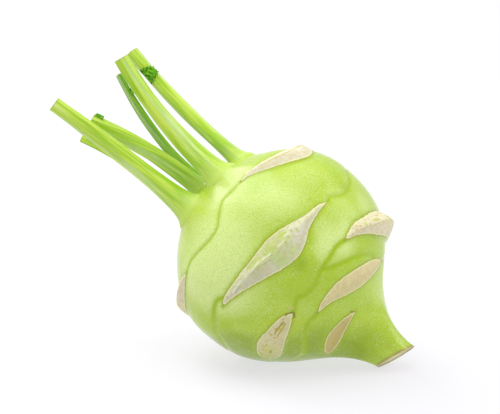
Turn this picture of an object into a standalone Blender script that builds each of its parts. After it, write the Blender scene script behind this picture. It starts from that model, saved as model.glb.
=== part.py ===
"""Kohlrabi lying on its side.

One solid for the swollen stem with its leaf scars, neck and cut root, six cut leaf stalks, three
scraps of leaf blade, and the heart bud between the stalks.

Everything is modelled in the plant's own frame: the origin is the middle of the bulb's widest ring,
+Z points to the crown, and +X is the side that ends up on top. An empty then tips the whole plant
over until bulb and root both rest on the ground, and sets it down with the middle of its footprint
at the world origin. Lengths are in metres.
"""

import math

import bmesh
import bpy
from mathutils import Matrix, Vector
from mathutils.geometry import interpolate_bezier

MM = 0.001

# Bulb: a turned shape, from the crown over the widest ring to the waist, then the neck of the root.
BULB_RADIUS = 43.6 * MM  # at the widest ring
CROWN_RISE = 37.8 * MM  # widest ring up to the crown
WAIST_DROP = 36.8 * MM  # widest ring down to the waist, where the bulb turns into the neck
WAIST_RADIUS = 25.0 * MM
WAIST_SLOPE = 1.35  # radius lost per length at the waist
NECK_LENGTH = 27.2 * MM  # waist down to where the neck has its full slimness
NECK_RADIUS = 7.6 * MM
NECK_BEND = 1.9 * MM  # how far the neck swings towards the ground
ROOT_SPARE = 7.0 * MM  # straight end of the neck that the slanting cut takes off
ROOT_CUT_DROP = 64.0 * MM  # widest ring down to the middle of the root cut
ROOT_CUT_TILT = math.radians(21.0)  # how far the cut is from square
ROOT_CUT_TURN = math.radians(-148.0)  # the side that the slanting cut looks to

# Fineness of the bulb's mesh
BULB_SIDES = 72
CROWN_STEPS = 14
SHOULDER_STEPS = 14
NECK_STEPS = 9

# Leaf scars: shelves wound part of the way round the bulb. Each runs from one tip to the other.
# (start turn, start height, end turn, end height, half width, raise), degrees and millimetres
SCARS = [
    (-46, 25.0, 20, 14.5, 3.8, 1.8),
    (-108, -1.0, -26, -5.5, 6.0, 1.1),
    (-34, -21.0, 62, -28.5, 5.6, 2.8),
    (-82, -31.2, 4, -36.0, 3.6, 0.5),
    (-125, -43.3, -54, -41.0, 2.2, 0.4),
    (-142, -25.0, -86, -24.5, 4.5, 0.8),
    (-200, 11.0, -112, 17.0, 4.4, 2.2),
    (70, 24.0, 130, 17.0, 3.6, 1.2),
    (60, -1.0, 135, -7.0, 5.5, 1.1),
    (140, -8.0, 200, -12.0, 4.5, 0.9),
    (45, -33.0, 115, -37.0, 3.5, 0.6),
]

# Leaf stalks: where the foot stands on the crown (x, y), how far the tip leans away from over the
# foot (x, y), the length, and the width at the tip, above the foot and at the foot. Millimetres.
STALKS = {
    "stalk_front_low": ((-2.9, -15.3), (0.7, -6.9), 68.4, 6.0, 8.0, 12.0),
    "stalk_short_pale": ((-8.1, -1.4), (-6.4, -2.4), 52.9, 3.8, 5.0, 8.0),
    "stalk_middle": ((2.0, -4.0), (-6.6, -2.2), 52.5, 6.2, 6.5, 7.6),
    "stalk_thin_dark": ((-1.5, 8.1), (9.6, 9.3), 59.6, 3.0, 4.4, 6.0),
    "stalk_front_broad": ((14.1, -9.5), (12.0, -0.1), 59.8, 6.0, 8.4, 11.5),
    "stalk_rear": ((16.3, 9.3), (4.9, 3.9), 62.7, 6.4, 6.8, 8.6),
}
STALK_SIDES = 14
STALK_STEPS = 12
STALK_FLATNESS = 0.9  # thickness as a share of width
STALK_SINK = 5.0 * MM  # how far a stalk's route starts below the skin of the crown
FLARE_RUN = 9.0 * MM  # length over which a foot narrows to the stalk's own width
GROOVE_DEPTH = 0.16  # groove on the side that faces the plant's middle, as a share of half width
SEAT_GAP = 0.3 * MM  # clearance of stalks and bud to the bulb, and of a scrap to its stalk

# Scraps of leaf blade that cling to a stalk: stalk, place along it (0 foot, 1 tip), the side of the
# stalk (degrees), how much of the stalk they wrap (degrees), and length in millimetres
SCRAPS = {
    "leaf_scrap_middle": ("stalk_middle", 0.96, 14.0, 80.0, 3.8),
    "leaf_scrap_thin": ("stalk_thin_dark", 0.86, 14.0, 100.0, 3.0),
    "leaf_scrap_rear": ("stalk_rear", 0.81, -56.0, 90.0, 7.6),
}
SCRAP_THICKNESS = 0.7 * MM
SCRAP_WAVE = 0.25 * MM  # height of the crinkles
SCRAP_CELLS = 4
SCRAP_TAPER = 0.55  # share of its length that a scrap loses towards its free end

# Heart bud
BUD_FOOT = (8.0 * MM, 2.8 * MM)
BUD_RADIUS = 2.4 * MM
BUD_HEIGHT = 9.0 * MM
BUD_SINK = 2.5 * MM
BUD_LEAVES = 5
BUD_PLEAT = 0.14

REST_FLAT = 0.7 * MM  # how far the resting side of the bulb is pressed flat


def clear_scene():
    for item in list(bpy.data.objects):
        bpy.data.objects.remove(item, do_unlink=True)


def make_material(name, colour, roughness):
    material = bpy.data.materials.new(name)
    material.use_nodes = True
    shader = material.node_tree.nodes["Principled BSDF"]
    shader.inputs["Base Color"].default_value = (*colour, 1.0)
    shader.inputs["Roughness"].default_value = roughness
    shader.inputs["Metallic"].default_value = 0.0
    return material


def add_object(name, bm, material):
    """Turn a finished bmesh into a named, smooth-shaded object."""
    bmesh.ops.recalc_face_normals(bm, faces=bm.faces)
    if bm.calc_volume(signed=True) < 0.0:
        bmesh.ops.reverse_faces(bm, faces=bm.faces)
    mesh = bpy.data.meshes.new(name)
    bm.to_mesh(mesh)
    bm.free()
    mesh.materials.append(material)
    mesh.shade_smooth()
    mesh.set_sharp_from_angle(angle=math.radians(50))
    item = bpy.data.objects.new(name, mesh)
    bpy.context.collection.objects.link(item)
    return item


def smooth_step(share):
    share = min(max(share, 0.0), 1.0)
    return share * share * (3.0 - 2.0 * share)


# --- bulb ---------------------------------------------------------------------------------------


def curve_points(start, leave, arrive, end, steps):
    """Points of one smooth stretch of outline, each as (radius, 0, height)."""
    corners = [Vector((radius, 0.0, height)) for radius, height in (start, leave, arrive, end)]
    return interpolate_bezier(*corners, steps + 1)


def bulb_outline():
    """Half outline of the bulb, from the crown's middle down to the end of the root."""
    round_off = 0.51  # handle length of the crown's curve, a little leaner than an ellipse's
    waist = (WAIST_RADIUS, -WAIST_DROP)
    shoulder_handle = 0.565 * WAIST_DROP
    waist_handle = 0.174 * WAIST_DROP
    crown = curve_points(
        (0.0, CROWN_RISE),
        (round_off * BULB_RADIUS, CROWN_RISE),
        (BULB_RADIUS, round_off * CROWN_RISE),
        (BULB_RADIUS, 0.0),
        CROWN_STEPS,
    )
    shoulder = curve_points(
        (BULB_RADIUS, 0.0),
        (BULB_RADIUS, -shoulder_handle),
        (WAIST_RADIUS + WAIST_SLOPE * waist_handle, waist_handle - WAIST_DROP),
        waist,
        SHOULDER_STEPS,
    )
    neck_end = -WAIST_DROP - NECK_LENGTH
    leave = 0.28 * NECK_LENGTH
    arrive = 0.44 * NECK_LENGTH
    neck = curve_points(
        waist,
        (WAIST_RADIUS - WAIST_SLOPE * leave, -WAIST_DROP - leave),
        (NECK_RADIUS + 0.1 * arrive, neck_end + arrive),
        (NECK_RADIUS, neck_end),
        NECK_STEPS,
    )
    end = Vector((NECK_RADIUS, 0.0, neck_end - ROOT_SPARE))
    return crown + shoulder[1:] + neck[1:] + [end]


def scar_lift(turn, height):
    """How far the leaf scars lift the skin at a place on the bulb."""
    lift = 0.0
    for start, start_height, end, end_height, half_width, scar_raise in SCARS:
        along = ((turn - start) % 360.0) / (end - start)
        if along >= 1.0:
            continue
        taper = math.sin(math.pi * along)
        middle = start_height + along * (end_height - start_height)
        across = (height / MM - middle) / (half_width * taper + 0.001)
        if abs(across) < 1.0:
            lift = max(lift, scar_raise * MM * math.sqrt(taper) * (1.0 - across**2))
    return lift


def bend_neck(height):
    """Sideways swing of the neck, from none at the bulb to the full bend at the root cut."""
    return NECK_BEND * smooth_step((-height - 0.78 * WAIST_DROP) / (0.5 * NECK_LENGTH))


def turn_bulb():
    """Spin the outline into a closed skin, then raise the scars and bend the neck."""
    bm = bmesh.new()
    points = bulb_outline()
    corners = [bm.verts.new(point) for point in points]
    for upper, lower in zip(corners, corners[1:]):
        bm.edges.new((upper, lower))
    bmesh.ops.spin(
        bm,
        geom=bm.verts[:] + bm.edges[:],
        cent=(0.0, 0.0, 0.0),
        axis=(0.0, 0.0, 1.0),
        angle=math.tau,
        steps=BULB_SIDES,
        use_merge=True,
    )
    bmesh.ops.remove_doubles(bm, verts=bm.verts, dist=0.01 * MM)
    rim = [edge for edge in bm.edges if edge.is_boundary]
    bmesh.ops.edgeloop_fill(bm, edges=rim)
    for corner in bm.verts:
        x, y, z = corner.co
        radius = math.hypot(x, y)
        if radius > 0.1 * MM:
            grown = 1.0 + scar_lift(math.degrees(math.atan2(y, x)), z) / radius
            corner.co.x = x * grown
            corner.co.y = y * grown
        corner.co.x -= bend_neck(z)
    bmesh.ops.recalc_face_normals(bm, faces=bm.faces)
    return bm


def trim(bm, point, outward):
    """Cut everything beyond a plane off and close the cut."""
    cut = bmesh.ops.bisect_plane(
        bm,
        geom=bm.verts[:] + bm.edges[:] + bm.faces[:],
        dist=0.001 * MM,
        plane_co=point,
        plane_no=outward,
        clear_outer=True,
    )
    rim = [item for item in cut["geom_cut"] if isinstance(item, bmesh.types.BMEdge)]
    return bmesh.ops.edgeloop_fill(bm, edges=rim)["faces"]


def root_cut_plane():
    middle = Vector((-bend_neck(-ROOT_CUT_DROP), 0.0, -ROOT_CUT_DROP))
    outward = Vector(
        (
            math.sin(ROOT_CUT_TILT) * math.cos(ROOT_CUT_TURN),
            math.sin(ROOT_CUT_TILT) * math.sin(ROOT_CUT_TURN),
            -math.cos(ROOT_CUT_TILT),
        )
    )
    return middle, outward


def resting_tip(bulb_points, rim_points):
    """Angle that the plant tips over until the root's rim is level with the bulb's flat spot."""
    upright = math.radians(20.0)
    lying = math.radians(88.0)
    for _ in range(40):
        tip = 0.5 * (upright + lying)
        down = Vector((-math.sin(tip), 0.0, -math.cos(tip)))
        bulb_reach = max(point.dot(down) for point in bulb_points) - REST_FLAT
        rim_reach = max(point.dot(down) for point in rim_points)
        if rim_reach > bulb_reach:
            upright = tip
        else:
            lying = tip
    return tip, down, bulb_reach


def make_bulb(material):
    """The bulb, its mesh grown by the seat gap for cutting what stands on it, and its resting tip."""
    bm = turn_bulb()
    envelope = bm.copy()
    for corner in envelope.verts:
        corner.co += corner.normal * SEAT_GAP
    seat_cutter = add_object("seat_cutter", envelope, material)
    seat_cutter.hide_render = True
    seat_cutter.display_type = "WIRE"
    root_face = trim(bm, *root_cut_plane())[0]
    rim_points = [corner.co.copy() for corner in root_face.verts]
    bulb_points = [corner.co.copy() for corner in bm.verts if corner.co.z > -WAIST_DROP]
    tip, down, reach = resting_tip(bulb_points, rim_points)
    trim(bm, down * reach, down)
    return add_object("bulb", bm, material), seat_cutter, tip


# --- what stands on the crown -------------------------------------------------------------------


def crown_height(x, y):
    """Height of the crown's skin over a place on it."""
    share = math.hypot(x, y) / BULB_RADIUS
    return CROWN_RISE * math.sqrt(1.0 - share * share)


def stalk_route(foot, lean, length):
    """Centre line of a stalk: straight up from the crown, then leaning out, as (points, tangents)."""
    x, y = (value * MM for value in foot)
    base = Vector((x, y, crown_height(x, y)))
    offset = Vector((lean[0], lean[1], length)) * MM
    rise = Vector((0.0, 0.0, offset.z / 3.0))
    out = Vector((offset.x * 2.0 / 3.0, offset.y * 2.0 / 3.0, offset.z / 3.0))
    points = interpolate_bezier(base, base + rise, base + offset - out, base + offset, STALK_STEPS)
    points.insert(0, base - Vector((0.0, 0.0, STALK_SINK)))
    tangents = []
    for index in range(len(points)):
        before = points[max(index - 1, 0)]
        after = points[min(index + 1, len(points) - 1)]
        tangents.append((after - before).normalized())
    return points, tangents


def ring_matrix(point, tangent, half_width, half_thickness):
    """Place of one cross-section: its X across the stalk, its Y away from the plant's middle."""
    outward = Vector((point.x, point.y, 0.0))
    outward = (outward - tangent * outward.dot(tangent)).normalized()
    across = outward.cross(tangent)
    frame = Matrix((across, outward, tangent)).transposed().to_4x4()
    size = Matrix.Diagonal((half_width, half_thickness, 1.0, 1.0))
    return Matrix.Translation(point) @ frame @ size


def skin_rings(bm, sides, matrices, groove):
    """Extrude one grooved ring through a run of places and close both ends."""
    made = bmesh.ops.create_circle(bm, cap_ends=False, segments=sides, radius=1.0)
    ring = made["verts"]
    for corner in ring:
        inner = max(0.0, -corner.co.y)
        corner.co.y += groove * inner**4
    bmesh.ops.transform(bm, matrix=matrices[0], verts=ring)
    rim = list({edge for corner in ring for edge in corner.link_edges})
    bmesh.ops.edgeloop_fill(bm, edges=rim)
    for here, there in zip(matrices, matrices[1:]):
        grown = bmesh.ops.extrude_edge_only(bm, edges=rim)["geom"]
        corners = [item for item in grown if isinstance(item, bmesh.types.BMVert)]
        rim = [item for item in grown if isinstance(item, bmesh.types.BMEdge)]
        rim = [edge for edge in rim if all(corner in corners for corner in edge.verts)]
        bmesh.ops.transform(bm, matrix=there @ here.inverted(), verts=corners)
    bmesh.ops.edgeloop_fill(bm, edges=rim)


def seat_on_bulb(item, seat_cutter):
    seat = item.modifiers.new("seat", "BOOLEAN")
    seat.operation = "DIFFERENCE"
    seat.object = seat_cutter


def stalk_half_width(share, above, tip_width, shank_width, foot_width):
    """Half width at a share of the stalk's length, and a height above its foot."""
    shank = shank_width + (tip_width - shank_width) * share
    flare = (foot_width - shank_width) * math.exp(-above / FLARE_RUN)
    return 0.5 * (shank + flare) * MM


def make_stalk(name, foot, lean, length, tip_width, shank_width, foot_width, material, seat_cutter):
    points, tangents = stalk_route(foot, lean, length)
    matrices = []
    for point, tangent in zip(points, tangents):
        above = max(0.0, point.z - points[1].z)
        share = above / (length * MM)
        half_width = stalk_half_width(share, above, tip_width, shank_width, foot_width)
        matrices.append(ring_matrix(point, tangent, half_width, half_width * STALK_FLATNESS))
    bm = bmesh.new()
    skin_rings(bm, STALK_SIDES, matrices, GROOVE_DEPTH)
    item = add_object(name, bm, material)
    seat_on_bulb(item, seat_cutter)
    return item


def make_scrap(name, stalk_name, place, side, wrap, length, material):
    """A crinkled flake of leaf blade that clings round one side of a stalk."""
    foot, lean, stalk_length, tip_width, shank_width, _ = STALKS[stalk_name]
    points, tangents = stalk_route(foot, lean, stalk_length)
    spot = 1 + place * (len(points) - 2)
    low = min(int(spot), len(points) - 2)
    point = points[low].lerp(points[low + 1], spot - low)
    tangent = tangents[low].lerp(tangents[low + 1], spot - low).normalized()
    width = shank_width + (tip_width - shank_width) * place
    reach = 0.5 * width * MM + SEAT_GAP
    bm = bmesh.new()
    bmesh.ops.create_grid(bm, x_segments=SCRAP_CELLS, y_segments=SCRAP_CELLS, size=0.5)
    for corner in bm.verts:
        along, around = corner.co.x, corner.co.y
        turn = math.radians(side + wrap * around)
        outward = Vector((math.cos(turn), math.sin(turn), 0.0))
        outward = (outward - tangent * outward.dot(tangent)).normalized()
        narrow = 1.0 - SCRAP_TAPER * (around + 0.5)
        crinkle = SCRAP_WAVE * (1.0 + math.sin(7.0 * along + 4.0 * around))
        corner.co = point + tangent * (along * length * MM * narrow) + outward * (reach + crinkle)
    bm.normal_update()
    bmesh.ops.solidify(bm, geom=bm.faces[:], thickness=SCRAP_THICKNESS)
    return add_object(name, bm, material)


def make_bud(material, seat_cutter):
    """Pointed bud of a few folded young leaves."""
    x, y = BUD_FOOT
    bm = bmesh.new()
    bmesh.ops.create_uvsphere(bm, u_segments=20, v_segments=10, radius=1.0)
    for corner in bm.verts:
        turn = math.atan2(corner.co.y, corner.co.x)
        rise = 0.5 * (corner.co.z + 1.0)
        slim = (1.0 - 0.45 * rise) * (1.0 + BUD_PLEAT * math.cos(BUD_LEAVES * turn + 3.0 * rise))
        corner.co.x *= slim * BUD_RADIUS
        corner.co.y *= slim * BUD_RADIUS
        corner.co.z = rise * (BUD_HEIGHT + BUD_SINK)
    bmesh.ops.translate(bm, vec=(x, y, crown_height(x, y) - BUD_SINK), verts=bm.verts)
    item = add_object("heart_bud", bm, material)
    seat_on_bulb(item, seat_cutter)
    return item


# --- setting down -------------------------------------------------------------------------------


def lay_down(pieces, helpers, tip):
    """Tip the plant over and stand the middle of its box's bottom on the world origin."""
    holder = bpy.data.objects.new("laid_down", None)
    bpy.context.collection.objects.link(holder)
    holder.rotation_euler = (0.0, -tip, 0.0)
    for item in pieces + helpers:
        item.parent = holder
    bpy.context.view_layer.update()
    seen = bpy.context.evaluated_depsgraph_get()
    spots = []
    for item in pieces:
        solid = item.evaluated_get(seen)
        spots += [solid.matrix_world @ corner.co for corner in solid.data.vertices]
    low = [min(spot[axis] for spot in spots) for axis in range(3)]
    high = [max(spot[axis] for spot in spots) for axis in range(3)]
    holder.location = (-0.5 * (low[0] + high[0]), -0.5 * (low[1] + high[1]), -low[2])


def build():
    clear_scene()
    flesh = make_material("pale_green_skin", (0.56, 0.71, 0.19), 0.42)
    green = make_material("green_stalk", (0.39, 0.60, 0.06), 0.40)
    dark_green = make_material("dark_stalk", (0.20, 0.42, 0.02), 0.42)
    blade = make_material("leaf_blade", (0.03, 0.20, 0.01), 0.55)
    bud_green = make_material("bud_green", (0.45, 0.62, 0.14), 0.50)
    bulb, seat_cutter, tip = make_bulb(flesh)
    pieces = [bulb]
    for name, sizes in STALKS.items():
        material = dark_green if name == "stalk_thin_dark" else green
        pieces.append(make_stalk(name, *sizes, material, seat_cutter))
    for name, sizes in SCRAPS.items():
        pieces.append(make_scrap(name, *sizes, blade))
    pieces.append(make_bud(bud_green, seat_cutter))
    lay_down(pieces, [seat_cutter], tip)


build()
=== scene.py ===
"""Kohlrabi lying on its side, as it looks: the fine skin, stalks, leaf scraps and heart bud.

The plant is modelled in its own frame, where the origin is the middle of the bulb's widest ring and
+Z points to the crown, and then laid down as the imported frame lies. Lengths in the plant's frame
are millimetres, and the finished meshes are in metres.
"""

import math

import bmesh
import bpy
import numpy as np
from mathutils import Matrix, Quaternion, Vector
from mathutils.geometry import interpolate_bezier


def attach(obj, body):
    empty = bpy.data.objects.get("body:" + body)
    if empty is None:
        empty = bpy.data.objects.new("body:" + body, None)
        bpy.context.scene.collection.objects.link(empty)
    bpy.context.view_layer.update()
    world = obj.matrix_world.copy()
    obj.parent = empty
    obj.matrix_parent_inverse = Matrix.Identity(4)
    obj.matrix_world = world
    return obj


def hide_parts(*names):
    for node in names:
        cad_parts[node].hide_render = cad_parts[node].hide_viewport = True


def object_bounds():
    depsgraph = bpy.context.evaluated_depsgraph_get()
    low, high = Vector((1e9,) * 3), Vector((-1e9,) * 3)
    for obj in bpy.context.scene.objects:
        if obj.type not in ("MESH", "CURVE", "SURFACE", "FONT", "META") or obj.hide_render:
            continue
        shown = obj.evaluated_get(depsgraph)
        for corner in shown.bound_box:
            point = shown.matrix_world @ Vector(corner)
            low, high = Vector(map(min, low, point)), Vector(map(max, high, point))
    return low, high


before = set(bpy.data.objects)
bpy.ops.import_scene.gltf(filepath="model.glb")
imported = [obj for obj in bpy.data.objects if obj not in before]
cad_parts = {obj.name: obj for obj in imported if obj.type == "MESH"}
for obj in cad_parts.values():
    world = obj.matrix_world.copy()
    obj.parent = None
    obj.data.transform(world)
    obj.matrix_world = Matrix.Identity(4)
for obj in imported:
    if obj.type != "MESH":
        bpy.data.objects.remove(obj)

CAD_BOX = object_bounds()
MM = 0.001
FAR = 9.0  # mm: distances along the skin are only followed this far

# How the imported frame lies: the tip-over angle and the place of the middle of the widest ring
TIP = math.radians(54.493)
BELLY = Vector((14.996, -0.127, 43.767))
TO_PLACE = Matrix.Scale(MM, 4) @ Matrix.Translation(BELLY) @ Matrix.Rotation(-TIP, 4, "Y")

# Bulb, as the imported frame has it
BULB_RADIUS = 43.6
CROWN_RISE = 37.8
WAIST_DROP = 36.8
WAIST_RADIUS = 25.0
WAIST_SLOPE = 1.35
NECK_LENGTH = 27.2
NECK_RADIUS = 7.6
NECK_BEND = 1.9
ROOT_SPARE = 7.0
ROOT_CUT_DROP = 64.0
ROOT_CUT_TILT = math.radians(21.0)
ROOT_CUT_TURN = math.radians(-148.0)

# Fineness of the bulb's skin
BULB_SIDES = 384
CROWN_STEPS = 108
SHOULDER_STEPS = 82
NECK_STEPS = 56

# Leaf scars. Each is bounded by two edges from tip to tip, as (turn in degrees, height in mm): the
# crown side, where the cut starts level with the skin, and the root side, where it ends on a ledge.
# "rise" is how far it stands out in mm, "ridge" where across it that is, "lip" the share of the rise
# left at the ledge, "flesh" the colours of its crown facet and its root facet, "pores" how clearly
# the stumps of the veins show, and "pore" their colour.
SCARS = {
    "upper": dict(
        crown_side=[(-44, 24.7), (-34, 25.1), (-22, 24.4), (-8, 23.2), (8, 21.6), (24, 19.6), (38, 17.5)],
        root_side=[(-44, 24.7), (-35, 22.5), (-29, 19.9), (-22, 17.1), (-16, 15.0), (-8, 12.1),
                   (-1, 11.3), (8, 12.4), (18, 14.3), (28, 16.2), (38, 17.5)],
        rise=2.5, ridge=0.52, lip=0.25, flesh=("#D3D0B0", "#D0C9AC"), pores=0.2, pore="#C9B08A",
    ),
    "middle": dict(
        crown_side=[(-109, -1.3), (-103, 0.4), (-94, 0.6), (-86, 0.8), (-77, 0.6), (-68, 0.9),
                    (-61, 0.5), (-53, -1.1), (-41, -4.1), (-32, -5.0), (-26, -6.6)],
        root_side=[(-109, -1.3), (-101, -2.6), (-93, -4.3), (-82, -7.5), (-71, -10.9), (-65, -12.1),
                   (-59, -12.6), (-51, -11.0), (-45, -8.8), (-36, -7.4), (-26, -6.6)],
        rise=2.1, ridge=0.44, lip=0.12, flesh=("#D4D8AE", "#CBCAB0"), pores=1.0, pore="#AFC163",
    ),
    "shoulder": dict(
        crown_side=[(-34, -21.6), (-28, -20.2), (-20, -19.7), (-9, -20.5), (8, -21.4), (24, -22.2),
                    (42, -24.8), (60, -29.0)],
        root_side=[(-34, -21.6), (-26, -23.3), (-17, -25.4), (-5, -28.4), (8, -30.0), (22, -30.9),
                   (42, -30.6), (60, -29.0)],
        rise=5.0, ridge=0.5, lip=0.25, flesh=("#DDD6B4", "#DAD2B4"), pores=0.8, pore="#C2AC62",
    ),
    "waist": dict(
        crown_side=[(-81, -31.4), (-72, -30.0), (-56, -29.6), (-41, -31.0), (-27, -32.6),
                    (-10, -34.2), (7, -36.0)],
        root_side=[(-81, -31.4), (-73, -32.1), (-64, -33.4), (-55, -35.0), (-39, -36.8),
                   (-20, -37.3), (-6, -37.1), (7, -36.0)],
        rise=0.5, ridge=0.5, lip=0.3, flesh=("#D8CA96", "#D0C48E"), pores=0.3, pore="#C3A878",
    ),
    "neck": dict(
        crown_side=[(-134, -42.8), (-122, -41.2), (-108, -40.0), (-92, -39.4), (-75, -39.5),
                    (-65, -40.2), (-55, -41.4)],
        root_side=[(-134, -42.8), (-117, -43.9), (-98, -44.0), (-80, -43.0), (-66, -42.1), (-55, -41.4)],
        rise=0.4, ridge=0.5, lip=0.4, flesh=("#C4B468", "#BAAC60"), pores=0.5, pore="#A38E55",
    ),
    "lower": dict(
        crown_side=[(-140, -25.6), (-136, -22.8), (-128, -20.9), (-118, -19.8), (-108, -20.3),
                    (-99, -20.9), (-92, -22.1), (-88, -24.3)],
        root_side=[(-140, -25.6), (-135, -28.2), (-126, -29.2), (-116, -28.5), (-104, -27.2),
                   (-96, -26.2), (-88, -24.3)],
        rise=1.5, ridge=0.5, lip=0.5, flesh=("#D2CCA0", "#CDC798"), pores=0.9, pore="#B89C4E",
    ),
    "flank": dict(
        crown_side=[(-200, 11.0), (-182, 14.2), (-164, 16.8), (-147, 18.6), (-131, 19.9), (-116, 18.8)],
        root_side=[(-200, 11.0), (-184, 8.8), (-166, 9.0), (-150, 10.2), (-138, 12.4), (-127, 15.6),
                   (-116, 18.8)],
        rise=2.9, ridge=0.42, lip=0.12, flesh=("#DEDCB4", "#DACFB2"), pores=0.6, pore="#BFA566",
    ),
    "far_upper": dict(
        crown_side=[(70, 24.0), (80, 25.6), (95, 25.2), (110, 22.8), (122, 19.6), (130, 17.0)],
        root_side=[(70, 24.0), (80, 20.4), (92, 17.2), (104, 15.0), (118, 15.2), (130, 17.0)],
        rise=1.5, ridge=0.5, lip=0.25, flesh=("#E4DCC2", "#D9CCA8"), pores=0.7, pore="#BBA25E",
    ),
    "far_middle": dict(
        crown_side=[(60, -1.0), (72, 2.6), (90, 2.6), (108, 0.6), (124, -3.2), (135, -7.0)],
        root_side=[(60, -1.0), (72, -5.0), (88, -8.8), (104, -10.6), (120, -9.8), (135, -7.0)],
        rise=1.6, ridge=0.46, lip=0.2, flesh=("#E0E0BC", "#D6D2B8"), pores=0.9, pore="#B2B765",
    ),
    "far_low": dict(
        crown_side=[(140, -8.0), (150, -5.0), (165, -4.9), (180, -6.8), (192, -9.6), (200, -12.0)],
        root_side=[(140, -8.0), (151, -11.8), (166, -14.6), (180, -15.4), (191, -14.4), (200, -12.0)],
        rise=0.9, ridge=0.6, lip=0.6, flesh=("#DFD3AE", "#D6C79C"), pores=0.6, pore="#B79E5C",
    ),
    "far_waist": dict(
        crown_side=[(45, -33.0), (58, -31.6), (74, -31.8), (90, -33.2), (104, -35.2), (115, -37.0)],
        root_side=[(45, -33.0), (58, -36.2), (74, -38.2), (90, -38.8), (104, -38.4), (115, -37.0)],
        rise=0.6, ridge=0.6, lip=0.5, flesh=("#DCC9A0", "#D2BE92"), pores=0.4, pore="#AF955A",
    ),
}
LEDGE = 1.3  # mm of skin over which the ledge on the root side falls away

# Creases between old leaf bases, from scar to scar, as (turn in degrees, height in mm)
CREASES = [
    [(-44, 24.7), (-56, 25.4), (-63, 25.4), (-69, 23.9), (-74, 21.7), (-78, 19.9), (-86, 19.4),
     (-95, 19.9), (-107, 20.4), (-116, 18.8)],
    [(-26, -6.6), (-22, -6.0), (-15, -8.1), (-7, -9.1), (2, -6.8), (8, -3.4), (16, -1.2), (30, -0.6),
     (46, -2.0), (60, -1.0)],
    [(-104, 0.6), (-109, 1.9), (-116, 0.8), (-124, -1.9), (-132, -4.4), (-137, -7.4), (-148, -11.0),
     (-158, -12.2), (-166, -11.0)],
    [(-34, -21.6), (-41, -20.9), (-47, -21.5), (-58, -22.3), (-66, -24.0), (-75, -23.7),
     (-79, -22.3), (-88, -24.3)],
    [(-57, -22.4), (-51, -24.7), (-40, -27.4), (-25, -30.4), (-12, -33.6)],
    [(-81, -31.4), (-86, -31.1), (-92, -31.0), (-101, -32.6), (-117, -34.9), (-129, -35.5),
     (-145, -34.0), (-160, -31.0)],
    [(38, 17.5), (48, 19.6), (60, 22.4), (70, 24.0)],
    [(130, 17.0), (142, 14.0), (152, 12.0), (160, 11.0)],
    [(60, -29.0), (74, -26.0), (92, -22.4), (112, -20.4), (134, -20.0), (156, -18.6), (176, -17.6)],
    [(7, -36.0), (22, -35.4), (34, -34.0), (45, -33.0)],
    [(115, -37.0), (132, -36.0), (150, -34.0), (172, -31.0), (196, -29.0), (220, -25.6)],
]
CREASE_DEPTH = 0.35
CREASE_WIDTH = 0.9

# How far scars and creases dent the skin and deepen its green, in mm and as shares. The deeper green is
# partly the skin's own colour and partly painted shade in the creases and round the scars' edges; the
# darker crease core is painted shade.
NOTCH_DEPTH = 0.22  # dip in the skin along the crown side of a scar
NOTCH_WIDTH = 0.7
SCAR_EDGE = 1.5  # a scar's colours are kept this far outside it, for its wavering edge
SCAR_GREEN_AND_SHADE = 0.55
SCAR_GREEN_AND_SHADE_REACH = 1.8
FACET_BLEND = 0.3  # share of a scar's width over which its two facets' colours meet
CREASE_GREEN_AND_SHADE = 0.4
CREASE_GREEN_AND_SHADE_REACH = 2.5
CREASE_CORE_SHADE = 0.52
CREASE_CORE_REACH = 0.85
CROWN_CREASE_FADE = 0.3  # how much weaker the stain is high on the crown

# Slow unevenness of the skin, as waves: height in mm, waves round the bulb, turn per mm, start
SWELLS = [(0.22, 3.0, 0.09, 0.4), (0.18, 5.0, -0.13, 2.0), (0.12, 8.0, 0.21, 1.1)]

# Rings of the root's cut face, from the rim inwards: share of its radius, how deep it is sunk in mm
ROOT_RINGS = [
    (0.96, -0.15), (0.9, 0.1), (0.8, 0.25), (0.68, 0.1), (0.54, 0.0), (0.4, 0.15), (0.26, 0.3), (0.12, 0.2)
]

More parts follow.
